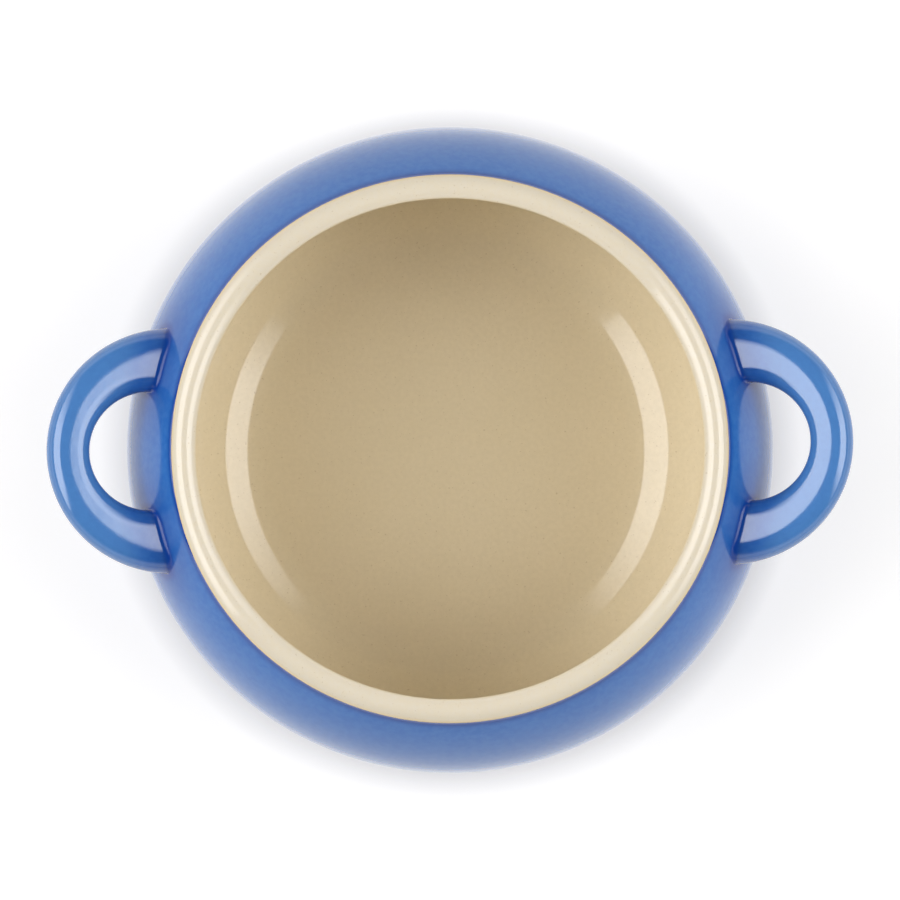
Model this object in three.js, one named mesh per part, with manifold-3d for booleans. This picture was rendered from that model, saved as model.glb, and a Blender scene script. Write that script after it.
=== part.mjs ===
// Mini cocotte, without a lid: a round-bellied stoneware pot with a sand glaze inside and over the rim,
// a blue glaze outside, a bare foot ring, and two loop handles luted to the shoulder with slip.
// Millimetres, +Z up. The origin is on the table under the middle of the foot, and the handles lie along X.
import * as THREE from "three";
import { mergeVertices } from "three/addons/utils/BufferGeometryUtils.js";
import Module from "manifold-3d";

const wasm = await Module();
wasm.setup();

// Pot, measured on the glazed surface
const RIM_HEIGHT = 52;
const RIM_RADIUS = 42.6;
const RIM_WIDTH = 3.7;
const RIM_CROWN = 1; // rise of the rounded rim over its upright collar
const COLLAR_HEIGHT = 1.5;
const NECK_FILLET = 0.9; // hollow between collar and shoulder
const BELLY_BULGE = 8.4; // how far the belly stands out past the rim
const BELLY_HEIGHT = 26;
const BELLY_WALL = 4.4;
const MOUTH_EDGE_RADIUS = 1; // rounding where the rim turns under into the inside wall
const MOUTH_EDGE_TURN = THREE.MathUtils.degToRad(35);
const FLOOR_THICKNESS = 4.6;
const COVE_WIDTH = 16.9; // from the edge of the flat floor to the inside of the belly
const COVE_RADIUS = 11.5; // rounding where the floor turns up
const COVE_TURN = THREE.MathUtils.degToRad(36); // slope at which that rounding runs into the flaring wall

// Foot ring and underside
const FOOT_INSET = 15; // how far the foot stands in from the belly
const FOOT_WIDTH = 3.6;
const FOOT_BARE = 1; // height of the foot that is wiped clean of glaze
const FOOT_GLAZED = 1.2; // height of the glazed foot above that
const FOOT_FILLET = 0.8;
const FOOT_CHAMFER = 0.4;
const BASE_SIDE = 0.9; // glazed side of the recess inside the foot
const BASE_FILLET = 0.5;

// Glaze coat and the joints of the handles
const GLAZE = 0.4;
const SLIP_PROUD = 1.2; // how far the slip stands out of the glazed wall
const SLIP_FLARE = 1.1; // how far it spreads round a handle's end as it meets the wall
const JOINT_GAP = 0.3;

// Handles, measured on the glazed surface
const HANDLE_PROJECTION = 11.5; // beyond the belly
const HANDLE_DROP = 7.4; // from the top of the rim down to the handle's top at the wall
const HANDLE_RISE = THREE.MathUtils.degToRad(15); // slope at which the loop climbs outwards
const HANDLE_APEX_WIDTH = 6.6;
const HANDLE_ROOT_WIDTH = 9.3;
const HANDLE_THICKNESS = 7.6;
const FINGER_HOLE_RADIUS = 9.2;

// Roundings of the handle's section as [width, height], at the middle of the loop and at its ends
const TOP_INNER = { apex: [1.1, 1.2], root: [2.2, 1.8] };
const TOP_OUTER = { apex: [3.6, 3.2], root: [2.6, 2.8] };
const BOTTOM_OUTER = { apex: [2.6, 3.2], root: [2.8, 3.2] };
const BOTTOM_INNER = { apex: [1.8, 2.4], root: [2.2, 2.6] };

// Fineness of the curves
const TURN_STEPS = 48;
const HALF_LOOP_STEPS = 13;
const JOINT_STEPS = 26; // over the same half loop
const CORNER_STEPS = 4;

// Places that follow from the sizes
const BELLY_RADIUS = RIM_RADIUS + BELLY_BULGE;
const CROWN_BASE = RIM_HEIGHT - RIM_CROWN;
const CROWN_RADIUS = RIM_RADIUS - RIM_WIDTH / 2;
const NECK_HEIGHT = CROWN_BASE - COLLAR_HEIGHT;
const FOOT_RADIUS = BELLY_RADIUS - FOOT_INSET;
const FOOT_INNER_RADIUS = FOOT_RADIUS - FOOT_WIDTH;
const FOOT_HEIGHT = FOOT_BARE + FOOT_GLAZED;
const BASE_HEIGHT = FOOT_BARE + BASE_SIDE;
const FLOOR_HEIGHT = BASE_HEIGHT + FLOOR_THICKNESS;
const FLOOR_FLAT_RADIUS = BELLY_RADIUS - BELLY_WALL - COVE_WIDTH;
const SHOULDER_RISE = ellipseRise(NECK_HEIGHT - BELLY_HEIGHT, RIM_RADIUS, BELLY_RADIUS);
const UNDERBELLY_DROP = ellipseRise(BELLY_HEIGHT - FOOT_HEIGHT, FOOT_RADIUS, BELLY_RADIUS);
const HANDLE_REACH = BELLY_RADIUS + HANDLE_PROJECTION;
const HANDLE_OUTER_RADIUS = FINGER_HOLE_RADIUS + HANDLE_ROOT_WIDTH;
const HANDLE_OUTER_CENTRE = HANDLE_REACH - HANDLE_OUTER_RADIUS;
const FINGER_HOLE_CENTRE = HANDLE_REACH - HANDLE_APEX_WIDTH - FINGER_HOLE_RADIUS;
const HANDLE_TOP = RIM_HEIGHT - HANDLE_DROP;
const HANDLE_ROOT_RADIUS = ellipseRadius(HANDLE_TOP - BELLY_HEIGHT, BELLY_RADIUS, SHOULDER_RISE);
const HANDLE_SWEEP = THREE.MathUtils.degToRad(125); // the ends lie well inside the wall that trims them

const material = (color, roughness) => new THREE.MeshStandardMaterial({ color, roughness, metalness: 0 });
const blueGlaze = material("#3f74bd", 0.12);
const sandGlaze = material("#dfd2b9", 0.14);
const bareStoneware = material("#cdbb9b", 0.75);

// Upright semi-axis of an ellipse on the axis that is `widest` at the belly and `radius` at `height` from it
function ellipseRise(height, radius, widest) {
  return height / Math.sqrt(1 - (radius / widest) ** 2);
}

// Radius of such an ellipse at a height from the belly
function ellipseRadius(height, widest, rise) {
  return widest * Math.sqrt(1 - (height / rise) ** 2);
}

// Points of an elliptical arc in the plane of radius and height, both ends included
function arc(centre, semiAxes, from, to, steps) {
  return Array.from({ length: steps + 1 }, (_, i) => {
    const angle = from + ((to - from) * i) / steps;
    const x = centre[0] + semiAxes[0] * Math.cos(angle);
    const y = centre[1] + semiAxes[1] * Math.sin(angle);
    return new THREE.Vector2(x, y);
  });
}

// Points that round off the corner between a start and an end
function roundedCorner(start, corner, end, steps = 2) {
  return new THREE.QuadraticBezierCurve(start, corner, end).getPoints(steps);
}

// Semi-axes of the wall above and below the belly, `grow` outside the glazed surface
function shoulderAxes(grow) {
  return [BELLY_RADIUS + grow, SHOULDER_RISE + grow];
}
function underbellyAxes(grow) {
  return [BELLY_RADIUS + grow, UNDERBELLY_DROP + grow];
}

// Inside of the pot from the middle of the floor to the outer edge of the rim, sunk into the clay by `inset`
function insideProfile(inset) {
  const floor = FLOOR_HEIGHT - inset;
  const widest = BELLY_RADIUS - BELLY_WALL + inset;
  const edge = MOUTH_EDGE_RADIUS - inset;
  const edgeCentre = [RIM_RADIUS - RIM_WIDTH + MOUTH_EDGE_RADIUS, CROWN_BASE];
  const turnUnder = arc(edgeCentre, [edge, edge], Math.PI + MOUTH_EDGE_TURN, Math.PI, 1);
  const wallTop = turnUnder[0].y - BELLY_HEIGHT;
  const rise = ellipseRise(wallTop, turnUnder[0].x, widest);
  const coveCentre = [FLOOR_FLAT_RADIUS, FLOOR_HEIGHT + COVE_RADIUS];
  const coveAxes = [COVE_RADIUS + inset, COVE_RADIUS + inset];
  const cove = arc(coveCentre, coveAxes, -Math.PI / 2, COVE_TURN - Math.PI / 2, 2);
  const coveEnd = cove.at(-1);
  const wallCorner = new THREE.Vector2(widest, coveEnd.y + (widest - coveEnd.x) * Math.tan(COVE_TURN));
  const wallEnd = new THREE.Vector2(widest, BELLY_HEIGHT);
  const crownAxes = [RIM_WIDTH / 2 - inset, RIM_CROWN - inset];
  return [
    new THREE.Vector2(0, floor),
    ...cove,
    ...roundedCorner(coveEnd, wallCorner, wallEnd, 3).slice(1),
    ...arc([0, BELLY_HEIGHT], [widest, rise], 0, Math.asin(wallTop / rise), 4).slice(1, -1),
    ...turnUnder,
    ...arc([CROWN_RADIUS, CROWN_BASE], crownAxes, Math.PI, 0, 4).slice(1),
  ];
}

// Outside of the pot from the outer edge of the rim down to the bare foot, sunk into the clay by `inset`
function outsideProfile(inset) {
  const collar = RIM_RADIUS - inset;
  const foot = FOOT_RADIUS - inset;
  const footTop = FOOT_HEIGHT + inset;
  const widest = BELLY_RADIUS - inset;
  const neckFillet = Math.min(NECK_FILLET, COLLAR_HEIGHT);
  const footFillet = Math.min(FOOT_FILLET, FOOT_GLAZED);
  const shoulderEnd = Math.acos((collar + neckFillet / 2) / widest);
  const underbellyEnd = -Math.acos((foot + footFillet) / widest);
  const shoulder = arc([0, BELLY_HEIGHT], shoulderAxes(-inset), shoulderEnd, 0, 5);
  const underbelly = arc([0, BELLY_HEIGHT], underbellyAxes(-inset), 0, underbellyEnd, 5);
  const collarSide = new THREE.Vector2(collar, NECK_HEIGHT + neckFillet);
  const footSide = new THREE.Vector2(foot, footTop - footFillet);
  return [
    new THREE.Vector2(collar, CROWN_BASE),
    ...roundedCorner(collarSide, new THREE.Vector2(collar, NECK_HEIGHT), shoulder[0]),
    ...shoulder.slice(1),
    ...underbelly.slice(1),
    ...roundedCorner(underbelly.at(-1), new THREE.Vector2(foot, footTop), footSide).slice(1),
    new THREE.Vector2(foot, FOOT_BARE),
  ];
}

// Underside from its middle to the bare foot, sunk into the clay by `inset`
function baseProfile(inset) {
  const height = BASE_HEIGHT + inset;
  const side = FOOT_INNER_RADIUS - GLAZE + inset;
  const fillet = Math.min(BASE_FILLET, BASE_SIDE);
  const ceilingEnd = new THREE.Vector2(side - fillet, height);
  const sideTop = new THREE.Vector2(side, height - fillet);
  return [
    new THREE.Vector2(0, height),
    ...roundedCorner(ceilingEnd, new THREE.Vector2(side, height), sideTop),
    new THREE.Vector2(side, FOOT_BARE),
  ];
}

// A profile turned round the pot's axis
function turned(profile) {
  return new THREE.LatheGeometry(profile, TURN_STEPS).rotateX(Math.PI / 2);
}

// The layer between two profiles that start on the axis
function layer(lower, upper) {
  return turned([...lower, ...upper.reverse()]);
}

function toSolid(geometry) {
  const bare = new THREE.BufferGeometry();
  bare.setAttribute("position", geometry.getAttribute("position"));
  bare.setIndex(geometry.index);
  const merged = mergeVertices(bare);
  const triVerts = new Uint32Array(merged.index.array);
  const vertProperties = merged.getAttribute("position").array;
  return new wasm.Manifold(new wasm.Mesh({ numProp: 3, vertProperties, triVerts }));
}

function toGeometry(solid) {
  const { vertProperties, triVerts } = solid.getMesh();
  const geometry = new THREE.BufferGeometry();
  geometry.setAttribute("position", new THREE.BufferAttribute(vertProperties, 3));
  geometry.setIndex(new THREE.BufferAttribute(triVerts, 1));
  return geometry;
}

// Everything inside a wall that lies `grow` outside the glazed one, from the foot to the neck
function wallCore(grow) {
  const neckAngle = Math.acos(RIM_RADIUS / BELLY_RADIUS);
  const footAngle = -Math.acos(FOOT_RADIUS / BELLY_RADIUS);
  const underbelly = arc([0, BELLY_HEIGHT], underbellyAxes(grow), footAngle, 0, 6);
  const shoulder = arc([0, BELLY_HEIGHT], shoulderAxes(grow), 0, neckAngle, 12);
  const bottom = new THREE.Vector2(0, underbelly[0].y);
  const top = new THREE.Vector2(0, shoulder.at(-1).y);
  return toSolid(turned([bottom, ...underbelly, ...shoulder.slice(1), top]));
}

// Closed loft through rings of points, with flat ends
function loft(rings) {
  const count = rings[0].length;
  const last = (rings.length - 1) * count;
  const index = [];
  for (let start = 0; start < last; start += count) {
    for (let i = 0; i < count; i++) {
      const a = start + i;
      const b = start + ((i + 1) % count);
      index.push(a, b, b + count, a, b + count, a + count);
    }
  }
  for (let i = 1; i + 1 < count; i++) {
    index.push(0, i + 1, i, last, last + i, last + i + 1);
  }
  return new THREE.BufferGeometry().setFromPoints(rings.flat()).setIndex(index);
}

// Outline of the handle's section, x from the finger hole outwards and y up from the top face, grown all
// round by `grow`. `root` is 0 in the middle of the loop and 1 at its ends.
function handleSection(width, root, grow) {
  const sized = (corner) =>
    corner.apex.map((size, i) => THREE.MathUtils.lerp(size, corner.root[i], root) + grow);
  const [topInner, topOuter] = [sized(TOP_INNER), sized(TOP_OUTER)];
  const [bottomInner, bottomOuter] = [sized(BOTTOM_INNER), sized(BOTTOM_OUTER)];
  const [inner, outer] = [-grow, width + grow];
  const [top, bottom] = [grow, -HANDLE_THICKNESS - grow];
  const roundedWidth = Math.max(topInner[0] + topOuter[0], bottomInner[0] + bottomOuter[0]);
  const roundedHeight = Math.max(topInner[1] + bottomInner[1], topOuter[1] + bottomOuter[1]);
  const widthFit = Math.min(1, (outer - inner) / roundedWidth);
  const heightFit = Math.min(1, (top - bottom) / roundedHeight);
  const rounding = ([w, h], x, y, from) => {
    const axes = [w * widthFit, h * heightFit];
    const centre = [x + axes[0] * (x === inner ? 1 : -1), y + axes[1] * (y === top ? -1 : 1)];
    return arc(centre, axes, from, from - Math.PI / 2, CORNER_STEPS);
  };
  return [
    ...rounding(topInner, inner, top, Math.PI),
    ...rounding(topOuter, outer, top, Math.PI / 2),
    ...rounding(bottomOuter, outer, bottom, 0),
    ...rounding(bottomInner, inner, bottom, -Math.PI / 2),
  ];
}

// Section of the handle on +X at an angle round the loop, set in its place. It is grown all round by `grow`,
// and by `flare` more where the slip meets the wall.
function handleRing(angle, grow, flare) {
  const direction = new THREE.Vector2(Math.cos(angle), Math.sin(angle));
  const inner = new THREE.Vector2(FINGER_HOLE_CENTRE, 0).addScaledVector(direction, FINGER_HOLE_RADIUS);
  const outer = new THREE.Vector2(HANDLE_OUTER_CENTRE, 0).addScaledVector(direction, HANDLE_OUTER_RADIUS);
  const width = inner.distanceTo(outer);
  const fromWall = inner.clone().lerp(outer, 0.5).length() - HANDLE_ROOT_RADIUS;
  const flared = flare * THREE.MathUtils.clamp(1 - fromWall / SLIP_PROUD, 0, 1);
  const across = outer.sub(inner).normalize();
  const root = THREE.MathUtils.smoothstep(Math.abs(angle), 0, Math.PI / 2);
  return handleSection(width, root, grow + flared).map((point) => {
    const plan = inner.clone().addScaledVector(across, point.x);
    const climb = (plan.x - HANDLE_ROOT_RADIUS) * Math.tan(HANDLE_RISE);
    return new THREE.Vector3(plan.x, plan.y, HANDLE_TOP + climb + point.y);
  });
}

// Stretch of that handle between two angles
function handleStretch(from, to, steps, grow, flare) {
  const ringAt = (step) => handleRing(THREE.MathUtils.lerp(from, to, step / steps), grow, flare);
  return toSolid(loft(Array.from({ length: steps + 1 }, (_, step) => ringAt(step))));
}

// The half of that handle on the +Y side, flared for its joint
function flaredHalf(grow) {
  return handleStretch(0, HANDLE_SWEEP, JOINT_STEPS, grow, SLIP_FLARE);
}

function makeBody() {
  const foot = FOOT_RADIUS - GLAZE;
  return turned([
    ...baseProfile(GLAZE),
    new THREE.Vector2(FOOT_INNER_RADIUS, FOOT_CHAMFER),
    new THREE.Vector2(FOOT_INNER_RADIUS + FOOT_CHAMFER, 0),
    new THREE.Vector2(foot - FOOT_CHAMFER, 0),
    new THREE.Vector2(foot, FOOT_CHAMFER),
    ...outsideProfile(GLAZE).reverse(),
    ...insideProfile(GLAZE).reverse().slice(1),
  ]);
}

// The blue coat, left open where the slip of the four handle ends reaches through to the clay
function makeExteriorGlaze() {
  const clay = outsideProfile(GLAZE);
  const surface = outsideProfile(0).reverse();
  const coat = toSolid(turned([...clay, ...surface, clay[0]]));
  const opening = flaredHalf(JOINT_GAP);
  const rightOpenings = opening.add(opening.mirror([0, 1, 0]));
  const leftOpenings = rightOpenings.mirror([1, 0, 0]);
  return toGeometry(coat.subtract(rightOpenings).subtract(leftOpenings));
}

function makeHandle() {
  const loop = handleStretch(-HANDLE_SWEEP, HANDLE_SWEEP, 2 * HALF_LOOP_STEPS, 0, 0);
  return toGeometry(loop.subtract(wallCore(SLIP_PROUD + JOINT_GAP)));
}

// The slip under the end of the right handle on the +Y side
function makeSlipJoint() {
  const shell = wallCore(SLIP_PROUD).subtract(wallCore(JOINT_GAP - GLAZE));
  return flaredHalf(0).intersect(shell);
}

function named(name, geometry, finish) {
  const mesh = new THREE.Mesh(geometry, finish);
  mesh.name = name;
  return mesh;
}

// A handle and its two joints, made for +X and turned to their side
function makeSide(side, turn, endNames) {
  const joint = makeSlipJoint();
  const group = new THREE.Group();
  group.rotation.z = turn;
  group.add(
    named(`${side}_handle`, makeHandle(), blueGlaze),
    named(`${side}_${endNames[0]}_slip_joint`, toGeometry(joint), blueGlaze),
    named(`${side}_${endNames[1]}_slip_joint`, toGeometry(joint.mirror([0, 1, 0])), blueGlaze),
  );
  return group;
}

const cocotte = new THREE.Group();
cocotte.add(
  named("stoneware_body", makeBody(), bareStoneware),
  named("interior_glaze", layer(insideProfile(GLAZE), insideProfile(0)), sandGlaze),
  named("exterior_glaze", makeExteriorGlaze(), blueGlaze),
  named("base_glaze", layer(baseProfile(0), baseProfile(GLAZE)), blueGlaze),
  makeSide("right", 0, ["rear", "front"]),
  makeSide("left", Math.PI, ["front", "rear"]),
);

export default cocotte;
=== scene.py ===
"""Looks of a mini cocotte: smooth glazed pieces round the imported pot, with its camera, lights and floor.

Metres, +Z up. The pot stands on z = 0 round the Z axis and its handles lie along X. The photograph looks
straight down on it, with +Y at the top.
"""

import math

import bmesh
import bpy
import numpy as np
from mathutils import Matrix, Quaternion, Vector
from mathutils.kdtree import KDTree


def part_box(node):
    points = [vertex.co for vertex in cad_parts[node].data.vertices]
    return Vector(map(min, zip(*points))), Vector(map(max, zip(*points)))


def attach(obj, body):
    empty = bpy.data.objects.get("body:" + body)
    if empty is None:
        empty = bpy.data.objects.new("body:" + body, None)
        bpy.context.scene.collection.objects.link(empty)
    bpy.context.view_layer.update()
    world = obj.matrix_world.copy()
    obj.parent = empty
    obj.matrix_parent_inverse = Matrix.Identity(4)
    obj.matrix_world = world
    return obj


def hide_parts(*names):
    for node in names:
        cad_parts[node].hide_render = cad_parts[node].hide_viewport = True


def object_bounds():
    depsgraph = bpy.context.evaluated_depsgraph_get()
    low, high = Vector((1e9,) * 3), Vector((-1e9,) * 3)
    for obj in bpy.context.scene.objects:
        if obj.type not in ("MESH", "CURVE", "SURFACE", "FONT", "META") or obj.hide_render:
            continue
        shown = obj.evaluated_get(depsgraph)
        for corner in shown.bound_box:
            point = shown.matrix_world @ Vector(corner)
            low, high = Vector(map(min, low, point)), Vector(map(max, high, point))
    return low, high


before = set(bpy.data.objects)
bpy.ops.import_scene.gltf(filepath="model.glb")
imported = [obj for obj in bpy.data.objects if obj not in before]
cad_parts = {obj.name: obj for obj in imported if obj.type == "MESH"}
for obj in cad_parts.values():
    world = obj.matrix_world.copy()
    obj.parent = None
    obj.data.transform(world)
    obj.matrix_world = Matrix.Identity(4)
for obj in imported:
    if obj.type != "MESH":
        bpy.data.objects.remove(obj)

CAD_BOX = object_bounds()
MM = 0.001

# Sizes that the frame gives, measured on the glazed surface
GLAZE = 0.4 * MM
INSIDE_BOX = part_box("interior_glaze")
OUTSIDE_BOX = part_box("exterior_glaze")
BASE_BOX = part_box("base_glaze")
RIM_HEIGHT = INSIDE_BOX[1].z
FLOOR_HEIGHT = INSIDE_BOX[0].z + GLAZE
INSIDE_RADIUS = INSIDE_BOX[1].x - GLAZE
BELLY_RADIUS = OUTSIDE_BOX[1].x
CROWN_BASE = OUTSIDE_BOX[1].z
FOOT_BARE = OUTSIDE_BOX[0].z
FOOT_INNER_RADIUS = BASE_BOX[1].x
BASE_HEIGHT = BASE_BOX[1].z - GLAZE
HANDLE_REACH = CAD_BOX[1].x

# Sizes of the pot between those
RIM_RADIUS = 42.6 * MM
RIM_WIDTH = 3.7 * MM
RIM_PULL = 0.35 * MM  # the handles drew the rim this far out of round in the kiln, longer along X
COLLAR_HEIGHT = 1.5 * MM
NECK_FILLET = 0.9 * MM
BELLY_HEIGHT = 26 * MM
MOUTH_EDGE_RADIUS = 1 * MM
MOUTH_EDGE_TURN = math.radians(35)
FLOOR_FLAT_RADIUS = 29.7 * MM
COVE_RADIUS = 11.5 * MM
COVE_TURN = math.radians(36)
FLOOR_SHIFT = np.array([-0.47 * MM, -0.09 * MM])  # the floor lies this far off the pot's axis
FOOT_WIDTH = 3.6 * MM
FOOT_GLAZED = 1.2 * MM
FOOT_FILLET = 0.8 * MM
FOOT_CHAMFER = 0.4 * MM
BASE_FILLET = 0.5 * MM
RIM_CROWN = RIM_HEIGHT - CROWN_BASE
CROWN_RADIUS = RIM_RADIUS - RIM_WIDTH / 2
NECK_HEIGHT = CROWN_BASE - COLLAR_HEIGHT
FOOT_RADIUS = FOOT_INNER_RADIUS + FOOT_WIDTH
FOOT_HEIGHT = FOOT_BARE + FOOT_GLAZED

# Handles
HANDLE_TOP = 44.6 * MM  # height of the top face where it meets the wall
HANDLE_RISE = math.radians(15)
HANDLE_APEX_WIDTH = 6.6 * MM
HANDLE_ROOT_WIDTH = 9.9 * MM
HANDLE_THICKNESS = 7.6 * MM
HANDLE_SWEEP = math.radians(125)
FINGER_HOLE_RADIUS = 9.2 * MM
FINGER_HOLE_CENTRE = HANDLE_REACH - HANDLE_APEX_WIDTH - FINGER_HOLE_RADIUS
HANDLE_OUTER_RADIUS = FINGER_HOLE_RADIUS + HANDLE_ROOT_WIDTH
HANDLE_OUTER_CENTRE = HANDLE_REACH - HANDLE_OUTER_RADIUS
HANDLE_SKEW = math.radians(0.57)  # both handles are set this much towards the back
SLIP_FILLET = 0.8 * MM  # reach of the slip up the handle and along the wall, on the handle's top
SLIP_SIDE_SHARE = 0.4  # share of that reach down the handle's sides
SLIP_DIP = 0.08 * MM  # how far the slip's edge runs in under the glazed wall
SLIP_SUNK = 0.6 * MM  # how deep the slip ends under that edge

# Roundings of the handle's section as (width, height), in the middle of the loop and at its ends
TOP_INNER = {"apex": (1.4 * MM, 1.6 * MM), "root": (2.8 * MM, 2.6 * MM)}
TOP_OUTER = {"apex": (3.6 * MM, 3.2 * MM), "root": (4.2 * MM, 3.4 * MM)}
BOTTOM_OUTER = {"apex": (2.6 * MM, 3.2 * MM), "root": (2.8 * MM, 3.2 * MM)}
BOTTOM_INNER = {"apex": (3.4 * MM, 4.8 * MM), "root": (2.6 * MM, 3.4 * MM)}

# Glaze gathers in hollows (with painted shade) and runs thin over edges, within these distances
JOINT_POOL = 1.4 * MM
JOINT_SHADE_REACH = 5 * MM  # painted shade runs on from the pool up the handle, with this share of its darkness
JOINT_SHADE_SHARE = 0.45
LOOP_FROM = 2.5 * MM  # the loops' painted light, a lighter blue, begins at this height over the wall
LOOP_TO = 6 * MM  # and is full from this one up
NECK_POOL = 0.9 * MM
SEAM_WIDTH = 0.45 * MM

# Gloss of the glazes and the bare clay, and the relief in their surface
WALL_IOR = 1.44
LOOP_IOR = 1.76
SAND_IOR = 1.6
BARE_IOR = 1.5
RIPPLE_SCALE = 260
RIPPLE_DEPTH = 0.012 * MM
GRIT_SCALE = 2200
GRIT_DEPTH = 0.06 * MM

# Fineness of the meshes
TURN_STEPS = 320
FLOOR_STEPS = 11
COVE_STEPS = 24
WALL_STEPS = 24
UPPER_WALL_STEPS = 20
MOUTH_EDGE_STEPS = 6
CROWN_STEPS = 28
NECK_FILLET_STEPS = 8
SHOULDER_STEPS = 40
UNDERBELLY_STEPS = 36
FOOT_FILLET_STEPS = 6
BASE_FILLET_STEPS = 5
LINE_STEPS = 600  # along half a handle, where its lines are searched
HALF_HANDLE_ROWS = 70
SLIP_ROWS = 14
CORNER_STEPS = 10
FLAT_STEPS = 5
SHARP_ANGLE = math.radians(40)

# Camera: the photograph's frame, and where it was taken from
CAMERA_HEIGHT = 1.0
CAMERA_FORWARD = 8 * MM  # it stood this far towards -Y
CAMERA_ROLL = math.radians(-0.93)
FRAME_WIDTH = 142.3 * MM  # width of the picture at the belly's height
SENSOR_WIDTH = 36.0

# Light: an upright panel on each side, dimmer towards its ends, with the white room as fill. A panel runs
# along Y from its front to its rear end. It is bright in the middle, dim at its front and dark at its rear.
PANEL_ASIDE = 0.3
PANEL_LOW = 0.195
LEFT_PANEL = dict(front=-0.23, bright_from=-0.15, bright_to=0.105, rear=0.36, top=0.95, front_level=0.6)
RIGHT_PANEL = dict(front=-0.24, bright_from=-0.105, bright_to=0.068, rear=0.33, top=0.775, front_level=0.1)
PANEL_RADIANCE = 4.1
ROOM_WHITE_TO = 0.2  # the room is white up to this height of a ray that is one unit long
ROOM_DIM_FROM = 0.45  # and dim from this one up
CEILING_STRENGTH = 0.05
FLOOR_HALF = 3.0
FLOOR_WHITE = (0.68, 0.66, 0.64, 1)
FLOOR_GLOW = 0.5  # lifts the floor to white where seen, less near the pot, deepening its real shadow with painted shadow
FLOOR_GLOW_NEAR = 0.17
PAINTED_SHADOW_FROM = 50 * MM  # the painted shadow fades between these two distances from the pot's axis
PAINTED_SHADOW_TO = 57 * MM


def smoothstep(value, low, high):
    share = np.clip((value - low) / (high - low), 0, 1)
    return share * share * (3 - 2 * share)


# Profiles of the pot, as rows of (radius, height, share of the floor's shift off the axis)


def ellipse_rise(height, radius, widest):
    """Upright semi-axis of an ellipse that is widest at the belly and has a radius at a height from it."""
    return height / math.sqrt(1 - (radius / widest) ** 2)


SHOULDER_RISE = ellipse_rise(NECK_HEIGHT - BELLY_HEIGHT, RIM_RADIUS, BELLY_RADIUS)
UNDERBELLY_DROP = ellipse_rise(BELLY_HEIGHT - FOOT_HEIGHT, FOOT_RADIUS, BELLY_RADIUS)


def arc(centre, axes, start, end, steps):
    angle = np.linspace(start, end, steps + 1)
    return np.stack([centre[0] + axes[0] * np.cos(angle), centre[1] + axes[1] * np.sin(angle)], axis=1)


def bezier(start, corner, end, steps):
    """Points of a quadratic curve that rounds off a corner; the ends may be rows of points."""
    start, corner, end = np.asarray(start), np.asarray(corner), np.asarray(end)
    shares = np.linspace(0, 1, steps + 1)
    return np.stack([start * (1 - t) ** 2 + corner * 2 * t * (1 - t) + end * t * t for t in shares])


def crown_arc(half_width, rise):
    """The rim's round back, from its inner to its outer edge."""
    radius = (half_width ** 2 + rise ** 2) / (2 * rise)
    half_turn = math.asin(half_width / radius)
    centre = (CROWN_RADIUS, CROWN_BASE + rise - radius)
    return arc(centre, (radius, radius), math.pi / 2 + half_turn, math.pi / 2 - half_turn, CROWN_STEPS)


def inside_profile(inset):
    """From the middle of the floor to the outer edge of the rim, sunk into the clay by an inset."""
    floor = FLOOR_HEIGHT - inset
    widest = INSIDE_RADIUS + inset
    edge = MOUTH_EDGE_RADIUS - inset
    edge_centre = (RIM_RADIUS - RIM_WIDTH + MOUTH_EDGE_RADIUS, CROWN_BASE)
    turn_under = arc(edge_centre, (edge, edge), math.pi + MOUTH_EDGE_TURN, math.pi, MOUTH_EDGE_STEPS)
    wall_top = turn_under[0][1] - BELLY_HEIGHT
    rise = ellipse_rise(wall_top, turn_under[0][0], widest)
    cove_radius = COVE_RADIUS + inset
    cove_centre = (FLOOR_FLAT_RADIUS, FLOOR_HEIGHT + COVE_RADIUS)
    cove = arc(cove_centre, (cove_radius, cove_radius), -math.pi / 2, COVE_TURN - math.pi / 2, COVE_STEPS)
    wall_corner = (widest, cove[-1][1] + (widest - cove[-1][0]) * math.tan(COVE_TURN))
    profile = np.concatenate([
        np.linspace((0, floor), (FLOOR_FLAT_RADIUS, floor), FLOOR_STEPS, endpoint=False),
        cove,
        bezier(cove[-1], wall_corner, (widest, BELLY_HEIGHT), WALL_STEPS)[1:],
        arc((0, BELLY_HEIGHT), (widest, rise), 0, math.asin(wall_top / rise), UPPER_WALL_STEPS)[1:-1],
        turn_under,
        crown_arc(RIM_WIDTH / 2 - inset, RIM_CROWN - inset)[1:],
    ])
    return np.column_stack([profile, smoothstep(profile[:, 1], NECK_HEIGHT, floor)])


def unshifted(stretches):
    """One profile out of stretches of (radius, height) that stay on the axis."""
    profile = np.concatenate(stretches)
    return np.column_stack([profile, np.zeros(len(profile))])


def outside_profile(inset):
    """From the outer edge of the rim down to the bare foot, sunk into the clay by an inset."""
    collar = RIM_RADIUS - inset
    foot = FOOT_RADIUS - inset
    foot_top = FOOT_HEIGHT + inset
    widest = BELLY_RADIUS - inset
    shoulder_end = math.acos((collar + NECK_FILLET / 2) / widest)
    underbelly_end = -math.acos((foot + FOOT_FILLET) / widest)
    middle = (0, BELLY_HEIGHT)
    shoulder = arc(middle, (widest, SHOULDER_RISE - inset), shoulder_end, 0, SHOULDER_STEPS)
    underbelly = arc(middle, (widest, UNDERBELLY_DROP - inset), 0, underbelly_end, UNDERBELLY_STEPS)
    return unshifted([
        [(collar, CROWN_BASE)],
        bezier((collar, NECK_HEIGHT + NECK_FILLET), (collar, NECK_HEIGHT), shoulder[0], NECK_FILLET_STEPS),
        shoulder[1:],
        underbelly[1:],
        bezier(underbelly[-1], (foot, foot_top), (foot, foot_top - FOOT_FILLET), FOOT_FILLET_STEPS)[1:],
        [(foot, FOOT_BARE)],
    ])


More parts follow.
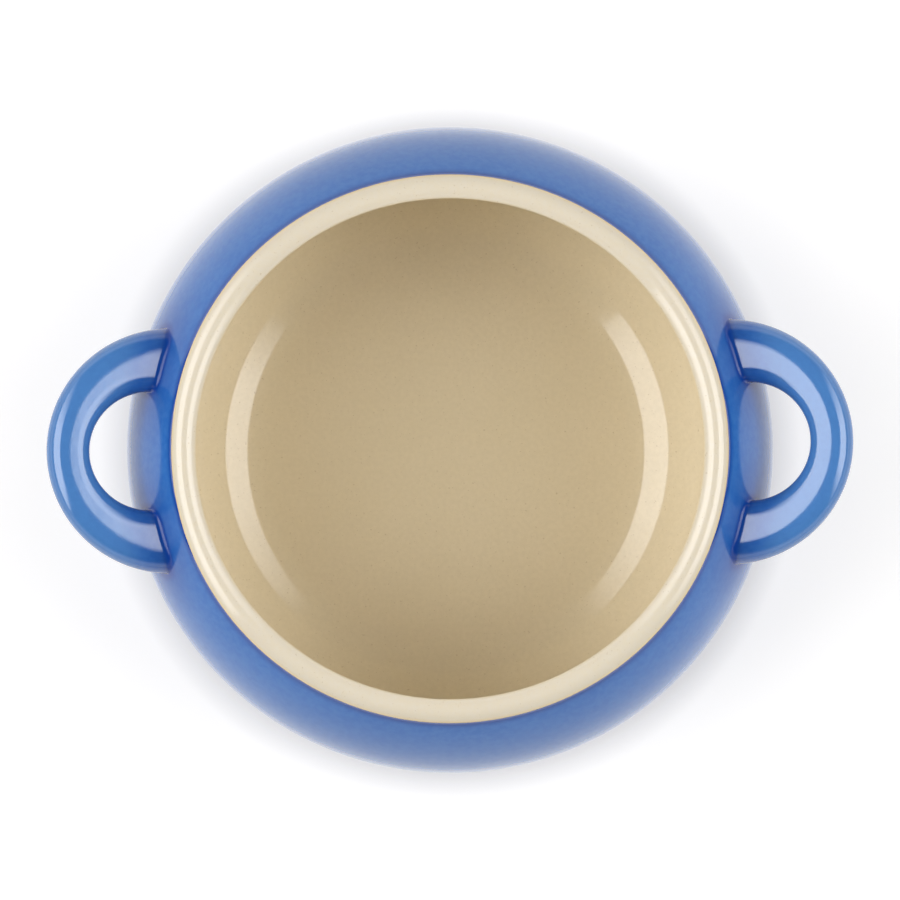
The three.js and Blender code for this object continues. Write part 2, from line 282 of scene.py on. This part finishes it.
def base_profile(inset):
    """Underside from its middle to the bare foot, sunk into the clay by an inset."""
    height = BASE_HEIGHT + inset
    side = FOOT_INNER_RADIUS - GLAZE + inset
    corner = (side, height)
    return unshifted([
        [(0, height)],
        bezier((side - BASE_FILLET, height), corner, (side, height - BASE_FILLET), BASE_FILLET_STEPS),
        [(side, FOOT_BARE)],
    ])


def body_profile():
    """The clay under the glaze, with the bare foot that shows."""
    foot = FOOT_RADIUS - GLAZE
    bare_foot = unshifted([
        [(FOOT_INNER_RADIUS, FOOT_CHAMFER), (FOOT_INNER_RADIUS + FOOT_CHAMFER, 0)],
        [(foot - FOOT_CHAMFER, 0), (foot, FOOT_CHAMFER)],
    ])
    return np.concatenate([
        base_profile(GLAZE),
        bare_foot,
        outside_profile(GLAZE)[::-1],
        inside_profile(GLAZE)[::-1][1:],
    ])


def pull(height):
    """Share by which the pot is stretched along X, and drawn in along Y, at a height."""
    return smoothstep(height, BELLY_HEIGHT, RIM_HEIGHT) * RIM_PULL / RIM_RADIUS


def drawn(points):
    """Points of the round pot moved with the rim that was drawn out of round."""
    share = pull(points[..., 2])
    return np.stack([points[..., 0] * (1 + share), points[..., 1] * (1 - share), points[..., 2]], axis=-1)


def undrawn(points):
    share = pull(points[..., 2])
    return np.stack([points[..., 0] / (1 + share), points[..., 1] / (1 - share), points[..., 2]], axis=-1)


def turned(profile):
    """Points and faces of a closed profile turned round the axis. Rows on the axis become single points."""
    turns = np.arange(TURN_STEPS) * 2 * math.pi / TURN_STEPS
    points, rows = [], []
    for radius, height, share in profile:
        count = 1 if radius == 0 else TURN_STEPS
        start = len(points)
        x, y = FLOOR_SHIFT * share
        for turn in turns[:count]:
            points.append((x + radius * math.cos(turn), y + radius * math.sin(turn), height))
        rows.append([start + i % count for i in range(TURN_STEPS)])
    if profile[0][0] > 0:
        rows.append(rows[0])
    faces = []
    for lower, upper in zip(rows, rows[1:]):
        for i in range(TURN_STEPS):
            j = (i + 1) % TURN_STEPS
            corners = [lower[i], lower[j], upper[j], upper[i]]
            faces.append(list(dict.fromkeys(corners)))
    return drawn(np.array(points)), faces


# Handles, made for +X


def handle_section(width, root):
    """Outline of the section, x outwards from the finger hole and y up from the top face.

    root is 0 in the middle of the loop and 1 at its ends.
    """

    def rounding(sizes, inner, top, start):
        wide, high = np.array(sizes["apex"]) * (1 - root) + np.array(sizes["root"]) * root
        centre = (wide if inner else width - wide, -high if top else high - HANDLE_THICKNESS)
        return arc(centre, (wide, high), start, start - math.pi / 2, CORNER_STEPS)

    corners = [
        rounding(TOP_INNER, True, True, math.pi),
        rounding(TOP_OUTER, False, True, math.pi / 2),
        rounding(BOTTOM_OUTER, False, False, 0),
        rounding(BOTTOM_INNER, True, False, -math.pi / 2),
    ]
    outline = []
    for corner, following in zip(corners, corners[1:] + corners[:1]):
        flat = np.linspace(corner[-1], following[0], FLAT_STEPS + 1)
        outline.extend([corner, flat[1:-1]])
    return np.concatenate(outline)


def handle_ring(turn):
    """The section at an angle round the loop, set in its place."""
    direction = np.array([math.cos(turn), math.sin(turn)])
    inner = np.array([FINGER_HOLE_CENTRE, 0]) + FINGER_HOLE_RADIUS * direction
    outer = np.array([HANDLE_OUTER_CENTRE, 0]) + HANDLE_OUTER_RADIUS * direction
    width = np.linalg.norm(outer - inner)
    outline = handle_section(width, smoothstep(turn, 0, math.pi / 2))
    plan = inner + outline[:, :1] * (outer - inner) / width
    climb = (plan[:, 0] - HANDLE_ROOT_RADIUS) * math.tan(HANDLE_RISE)
    return np.column_stack([plan, HANDLE_TOP + climb + outline[:, 1]])


def wall_gradient(points):
    """How the shoulder's ellipse grows at points, and their share of its size."""
    round_points = undrawn(points)
    along = round_points - np.array([0, 0, BELLY_HEIGHT])
    axes = np.array([BELLY_RADIUS, BELLY_RADIUS, SHOULDER_RISE])
    share = np.linalg.norm(along / axes, axis=-1, keepdims=True)
    return along / axes ** 2 / share, share[..., 0]


def height_over_wall(points):
    gradient, share = wall_gradient(points)
    return (share - 1) / np.linalg.norm(gradient, axis=-1)


def wall_normal(points):
    gradient, _ = wall_gradient(points)
    return gradient / np.linalg.norm(gradient, axis=-1, keepdims=True)


def rows_where(lines, height):
    """Row, with its fraction, at which each handle line sinks to a height over the wall."""
    over = height_over_wall(lines)
    first = (over < height).argmax(axis=0)
    column = np.arange(lines.shape[1])
    above, below = over[first - 1, column], over[first, column]
    return first - 1 + (above - height) / (above - below)


def points_at(lines, rows):
    """Point of each handle line at a fractional row."""
    low = np.floor(rows).astype(int)
    share = (rows - low)[:, None]
    column = np.arange(lines.shape[1])
    return lines[low, column] * (1 - share) + lines[np.minimum(low + 1, len(lines) - 1), column] * share


def slip_rows(lines):
    """Rows of points of the slip at a handle's end, and the crease that it fills.

    The rows run down the handle, round the hollow and out along the wall.
    """
    high = points_at(lines, rows_where(lines, SLIP_REACH))
    corner = points_at(lines, rows_where(lines, 0))
    normal = wall_normal(corner)
    outward = corner - corner.mean(axis=0)
    outward -= (outward * normal).sum(axis=1, keepdims=True) * normal
    tangent = np.roll(corner, -1, axis=0) - np.roll(corner, 1, axis=0)
    sideways = np.cross(tangent, normal)
    sideways *= np.sign((sideways * outward).sum(axis=1, keepdims=True))
    sideways /= np.linalg.norm(sideways, axis=1, keepdims=True)
    low = corner + sideways * SLIP_REACH[:, None]
    low -= (height_over_wall(low)[:, None] + SLIP_DIP) * wall_normal(low)
    sunk = low - SLIP_SUNK * wall_normal(low)
    return np.concatenate([bezier(high, corner, low, SLIP_ROWS), sunk[None]]), corner


def loft(rows):
    """Points and faces of a closed skin through rows of points, with a fan over each end."""
    count = rows.shape[1]
    points = np.concatenate([rows.reshape(-1, 3), [rows[0].mean(axis=0), rows[-1].mean(axis=0)]])
    last = (len(rows) - 1) * count
    first_middle, last_middle = len(points) - 2, len(points) - 1
    faces = []
    for i in range(count):
        j = (i + 1) % count
        faces.extend((row + i, row + j, row + count + j, row + count + i) for row in range(0, last, count))
        faces.extend([(first_middle, j, i), (last_middle, last + i, last + j)])
    return points, faces


def mirrored(points):
    """From the rear half of a handle to its front half."""
    return points * np.array([1, -1, 1])


def on_right(points):
    along, across = math.cos(HANDLE_SKEW), math.sin(HANDLE_SKEW)
    turn = np.array([[along, across], [-across, along]])
    return np.concatenate([points[..., :2] @ turn, points[..., 2:]], axis=-1)


def on_left(points):
    return on_right(points) * np.array([-1, 1, 1])


HANDLE_ROOT_RADIUS = BELLY_RADIUS * math.sqrt(1 - ((HANDLE_TOP - BELLY_HEIGHT) / SHOULDER_RISE) ** 2)
HANDLE_LINES = np.stack([handle_ring(turn) for turn in np.linspace(0, HANDLE_SWEEP, LINE_STEPS)])
ON_TOP = smoothstep(handle_section(HANDLE_ROOT_WIDTH, 1)[:, 1], -TOP_INNER["root"][1], 0)
SLIP_REACH = SLIP_FILLET * (SLIP_SIDE_SHARE + (1 - SLIP_SIDE_SHARE) * ON_TOP)
SLIP, CREASE = slip_rows(HANDLE_LINES)

CREASES = KDTree(4 * len(CREASE))
for end in (CREASE, mirrored(CREASE)):
    for point in np.concatenate([on_right(end), on_left(end)]):
        CREASES.insert(point, 0)
CREASES.balance()


def handle_rows():
    """Rows of points of the right handle, from its front end round to its rear end."""
    end = rows_where(HANDLE_LINES, SLIP_REACH)
    steps = range(HALF_HANDLE_ROWS + 1)
    rear = np.stack([points_at(HANDLE_LINES, end * step / HALF_HANDLE_ROWS) for step in steps])
    return np.concatenate([mirrored(rear[:0:-1]), rear])


# Where the glaze lies deep or thin, and where shade and light are painted


def pool_and_painted_shade(points):
    """Darkening of the blue, 0 to 1: gathered glaze and painted shade round the handles' ends and under the
    collar.
    """
    gap = np.array([CREASES.find(point)[2] for point in points])
    round_points = undrawn(points)
    radius = np.hypot(round_points[:, 0], round_points[:, 1])
    from_neck = np.hypot(radius - RIM_RADIUS - NECK_FILLET / 2, points[:, 2] - NECK_HEIGHT)
    gathered_and_shaded = np.maximum(np.exp(-(gap / JOINT_POOL) ** 2), np.exp(-(from_neck / NECK_POOL) ** 2))
    return np.maximum(gathered_and_shaded, JOINT_SHADE_SHARE * np.exp(-(gap / JOINT_SHADE_REACH) ** 2))


def thinned(points):
    """How near, from 0 to 1, a point lies to the seam of the two glazes at the outer edge of the rim."""
    round_points = undrawn(points)
    radius = np.hypot(round_points[:, 0], round_points[:, 1])
    from_seam = np.hypot(radius - RIM_RADIUS, points[:, 2] - CROWN_BASE)
    return np.exp(-(from_seam / SEAM_WIDTH) ** 2)


def painted_loop_light(points):
    """How far, from 0 to 1, a point stands out from the wall; the loops get painted light there."""
    return smoothstep(height_over_wall(points), LOOP_FROM, LOOP_TO)


def painted_rim_sheen(points):
    """How far up the rim's back, from 0 to 1, a point lies; a painted sheen makes the sand glaze paler
    there.
    """
    return smoothstep(points[:, 2], CROWN_BASE - MOUTH_EDGE_RADIUS / 2, CROWN_BASE + RIM_CROWN / 2)


# Materials


def srgb(code):
    """Linear colour of a hex code."""
    parts = [int(code[i:i + 2], 16) / 255 for i in (1, 3, 5)]
    linear = [c / 12.92 if c <= 0.04045 else ((c + 0.055) / 1.055) ** 2.4 for c in parts]
    return (*linear, 1.0)


def node(tree, kind, settings=None, **inputs):
    """Adds a shader node. Inputs go by label, or by number as in _0; a socket is linked, a value is set."""
    made = tree.nodes.new("ShaderNode" + kind)
    for key, value in (settings or {}).items():
        setattr(made, key, value)
    for key, value in inputs.items():
        socket = made.inputs[int(key[1:])] if key[1:].isdigit() else made.inputs[key.replace("_", " ")]
        if isinstance(value, bpy.types.NodeSocket):
            tree.links.new(value, socket)
        else:
            socket.default_value = value
    return made


def mix_colours(tree, share, first, second):
    return node(tree, "MixRGB", Fac=share, Color1=first, Color2=second).outputs["Color"]


def noise(tree, place, scale, detail=3.0, roughness=0.55):
    texture = node(tree, "TexNoise", Vector=place, Scale=scale, Detail=detail, Roughness=roughness)
    return texture.outputs["Factor"] if "Factor" in texture.outputs else texture.outputs["Fac"]


def ranged(tree, value, low, high, to_low=0.0, to_high=1.0):
    ranges = dict(Value=value, From_Min=low, From_Max=high, To_Min=to_low, To_Max=to_high)
    return node(tree, "MapRange", **ranges).outputs["Result"]


def calculate(tree, operation, first, second):
    return node(tree, "Math", {"operation": operation}, _0=first, _1=second).outputs["Value"]


def new_material(name):
    material = bpy.data.materials.new(name)
    material.use_nodes = True
    tree = material.node_tree
    tree.nodes.clear()
    place = node(tree, "TexCoord").outputs["Object"]
    return material, tree, place


def finish_material(tree, colour, roughness, height, depth, **constants):
    bump = node(tree, "Bump", Height=height, Distance=depth, Strength=1.0).outputs["Normal"]
    surface = node(tree, "BsdfPrincipled", Base_Color=colour, Roughness=roughness, Normal=bump, **constants)
    node(tree, "OutputMaterial", Surface=surface.outputs["BSDF"])


def attribute(tree, name):
    return node(tree, "Attribute", {"attribute_name": name}).outputs["Fac"]


def make_blue_glaze(name, ior):
    material, tree, place = new_material(name)
    drift = ranged(tree, noise(tree, place, scale=45), low=0.3, high=0.7)
    colour = mix_colours(tree, drift, srgb("#2c67b2"), srgb("#356db6"))
    # painted light: a lighter blue on the loops, where they stand out from the wall
    colour = mix_colours(tree, attribute(tree, "painted_loop_light"), colour, srgb("#4678b5"))
    fine = ranged(tree, noise(tree, place, scale=900, detail=2.0), low=0.35, high=0.65, to_high=0.25)
    colour = mix_colours(tree, fine, colour, srgb("#4d85c2"))
    # darker blue in the hollows: partly gathered glaze, partly painted shade
    colour = mix_colours(tree, attribute(tree, "pool_and_painted_shade"), colour, srgb("#0a3a90"))
    colour = mix_colours(tree, attribute(tree, "thinned"), colour, srgb("#8c9dac"))
    roughness = ranged(tree, noise(tree, place, scale=300), low=0.3, high=0.7, to_low=0.1, to_high=0.14)
    finish_material(tree, colour, roughness, noise(tree, place, RIPPLE_SCALE), RIPPLE_DEPTH, IOR=ior)
    return material


def make_sand_glaze():
    material, tree, place = new_material("sand_glaze")
    drift = ranged(tree, noise(tree, place, scale=40), low=0.3, high=0.7)
    colour = mix_colours(tree, drift, srgb("#e0d2b3"), srgb("#e4d6b8"))
    # painted sheen: paler, greyer sand on the rim's back
    colour = mix_colours(tree, attribute(tree, "painted_rim_sheen"), colour, srgb("#d6ccb9"))
    fine = ranged(tree, noise(tree, place, scale=1400, detail=2.0), low=0.35, high=0.65, to_high=0.3)
    colour = mix_colours(tree, fine, colour, srgb("#d6c8a9"))
    specks = ranged(tree, noise(tree, place, scale=2600, detail=1.0), low=0.7, high=0.76, to_high=0.35)
    colour = mix_colours(tree, specks, colour, srgb("#a78d62"))
    colour = mix_colours(tree, attribute(tree, "thinned"), colour, srgb("#dcc596"))
    roughness = ranged(tree, noise(tree, place, scale=300), low=0.3, high=0.7, to_low=0.07, to_high=0.1)
    finish_material(tree, colour, roughness, noise(tree, place, RIPPLE_SCALE), RIPPLE_DEPTH, IOR=SAND_IOR)
    return material


def make_bare_stoneware():
    material, tree, place = new_material("bare_stoneware")
    relief = noise(tree, place, GRIT_SCALE, detail=4.0)
    grain = ranged(tree, relief, low=0.3, high=0.7)
    colour = mix_colours(tree, grain, srgb("#b9a582"), srgb("#d3c3a4"))
    grit = ranged(tree, noise(tree, place, scale=1300, detail=1.0), low=0.66, high=0.72)
    colour = mix_colours(tree, grit, colour, srgb("#7c6647"))
    roughness = ranged(tree, grain, low=0, high=1, to_low=0.7, to_high=0.85)
    finish_material(tree, colour, roughness, relief, GRIT_DEPTH, IOR=BARE_IOR)
    return material


FINISHES = {
    "blue_glaze": make_blue_glaze("blue_glaze", WALL_IOR),
    "loop_glaze": make_blue_glaze("loop_glaze", LOOP_IOR),  # the same blue, with the loops' higher gloss
    "sand_glaze": make_sand_glaze(),
    "bare_stoneware": make_bare_stoneware(),
}


# Pieces


def make_piece(name, shape, slot, node_name, finish=None):
    """A smooth closed mesh that stands for a CAD node, in the finish named by slot, or by finish when given.
    """
    points, faces = shape
    mesh = bpy.data.meshes.new(name)
    mesh.from_pydata(points.tolist(), [], faces)
    skin = bmesh.new()
    skin.from_mesh(mesh)
    bmesh.ops.recalc_face_normals(skin, faces=skin.faces)
    skin.to_mesh(mesh)
    skin.free()
    mesh.shade_smooth()
    mesh.set_sharp_from_angle(angle=SHARP_ANGLE)
    for measure in (pool_and_painted_shade, thinned, painted_loop_light, painted_rim_sheen):
        values = mesh.attributes.new(measure.__name__, "FLOAT", "POINT")
        values.data.foreach_set("value", measure(points).astype(np.float32))
    mesh.materials.append(FINISHES[finish or slot])
    piece = bpy.data.objects.new(name, mesh)
    bpy.context.scene.collection.objects.link(piece)
    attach(piece, "root")
    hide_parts(node_name)


def layer(lower, upper):
    return turned(np.concatenate([lower, upper[::-1]]))


make_piece("fired_body", turned(body_profile()), "bare_stoneware", "stoneware_body")
make_piece("sand_coat", layer(inside_profile(GLAZE), inside_profile(0)), "sand_glaze", "interior_glaze")
make_piece("blue_coat", layer(outside_profile(GLAZE), outside_profile(0)), "blue_glaze", "exterior_glaze")
make_piece("blue_base_coat", layer(base_profile(0), base_profile(GLAZE)), "blue_glaze", "base_glaze")

for side, place in (("right", on_right), ("left", on_left)):
    make_piece(f"{side}_loop", loft(place(handle_rows())), "blue_glaze", f"{side}_handle", "loop_glaze")
    for end, rows in (("rear", SLIP), ("front", mirrored(SLIP))):
        make_piece(f"{side}_{end}_slip", loft(place(rows)), "blue_glaze", f"{side}_{end}_slip_joint")


# Stage


def seen_directly(tree):
    """1 for camera rays and for what gloss and glass show, and 0 for all else."""
    path = node(tree, "LightPath").outputs
    reflected = calculate(tree, "MAXIMUM", path["Is Glossy Ray"], path["Is Transmission Ray"])
    return calculate(tree, "MAXIMUM", path["Is Camera Ray"], reflected)


def make_white_floor():
    """Matt white, with a glow that is seen but casts no light, and is weaker near the pot: a painted shadow.
    """
    material, tree, place = new_material("white_floor")
    matt = node(tree, "BsdfDiffuse", Color=FLOOR_WHITE).outputs["BSDF"]
    distance = node(tree, "VectorMath", {"operation": "LENGTH"}, _0=place).outputs["Value"]
    # painted shadow: the glow is weaker close to the pot's axis
    lift = ranged(tree, distance, PAINTED_SHADOW_FROM, PAINTED_SHADOW_TO, FLOOR_GLOW_NEAR, FLOOR_GLOW)
    strength = calculate(tree, "MULTIPLY", lift, seen_directly(tree))
    glow = node(tree, "Emission", Strength=strength).outputs["Emission"]
    both = node(tree, "AddShader", _0=matt, _1=glow).outputs["Shader"]
    node(tree, "OutputMaterial", Surface=both)
    return material


def make_floor():
    corners = [(x * FLOOR_HALF, y * FLOOR_HALF, 0) for x, y in ((-1, -1), (1, -1), (1, 1), (-1, 1))]
    mesh = bpy.data.meshes.new("floor")
    mesh.from_pydata(corners, [], [(0, 1, 2, 3)])
    mesh.materials.append(make_white_floor())
    floor = bpy.data.objects.new("floor", mesh)
    bpy.context.scene.collection.objects.link(floor)


def make_world():
    world = bpy.data.worlds.new("white_room")
    world.use_nodes = True
    tree = world.node_tree
    tree.nodes.clear()
    direction = node(tree, "TexCoord").outputs["Generated"]
    height = node(tree, "SeparateXYZ", Vector=direction).outputs["Z"]
    strength = ranged(tree, height, ROOM_WHITE_TO, ROOM_DIM_FROM, 1.0, CEILING_STRENGTH)
    room = node(tree, "Background", Color=(1, 1, 1, 1), Strength=strength)
    node(tree, "OutputWorld", Surface=room.outputs["Background"])
    bpy.context.scene.world = world


def make_panel(name, aside, front, bright_from, bright_to, rear, top, front_level):
    """An upright panel of light that faces the pot from one side."""
    lamp = bpy.data.lights.new(name, "AREA")
    lamp.shape = "RECTANGLE"
    lamp.size = rear - front
    lamp.size_y = top - PANEL_LOW
    lamp.energy = math.pi * PANEL_RADIANCE * lamp.size * lamp.size_y
    lamp.use_nodes = True
    tree = lamp.node_tree
    tree.nodes.clear()
    place = node(tree, "NewGeometry").outputs["Position"]
    along = node(tree, "SeparateXYZ", Vector=place).outputs["Y"]
    rising = ranged(tree, along, front, bright_from, front_level, 1.0)
    falling = ranged(tree, along, bright_to, rear, 1.0, 0.0)
    level = calculate(tree, "MULTIPLY", rising, falling)
    glow = node(tree, "Emission", Strength=level).outputs["Emission"]
    node(tree, "OutputLight", Surface=glow)
    panel = bpy.data.objects.new(name, lamp)
    panel.location = (aside, (front + rear) / 2, (PANEL_LOW + top) / 2)
    panel.rotation_euler = Vector((-aside, 0, 0)).to_track_quat("-Z", "Y").to_euler()
    bpy.context.scene.collection.objects.link(panel)


def make_camera():
    lens = bpy.data.cameras.new("camera")
    camera = bpy.data.objects.new("camera", lens)
    camera.location = (0, -CAMERA_FORWARD, CAMERA_HEIGHT)
    aim = Vector((0, 0, BELLY_HEIGHT)) - camera.location
    camera.rotation_mode = "QUATERNION"
    camera.rotation_quaternion = aim.to_track_quat("-Z", "Y") @ Quaternion((0, 0, 1), CAMERA_ROLL)
    lens.sensor_width = SENSOR_WIDTH
    lens.lens = SENSOR_WIDTH * aim.length / FRAME_WIDTH
    bpy.context.scene.collection.objects.link(camera)
    bpy.context.scene.camera = camera


make_floor()
make_world()
make_panel("left_panel", -PANEL_ASIDE, **LEFT_PANEL)
make_panel("right_panel", PANEL_ASIDE, **RIGHT_PANEL)
make_camera()
bpy.context.scene.view_settings.view_transform = "Standard"
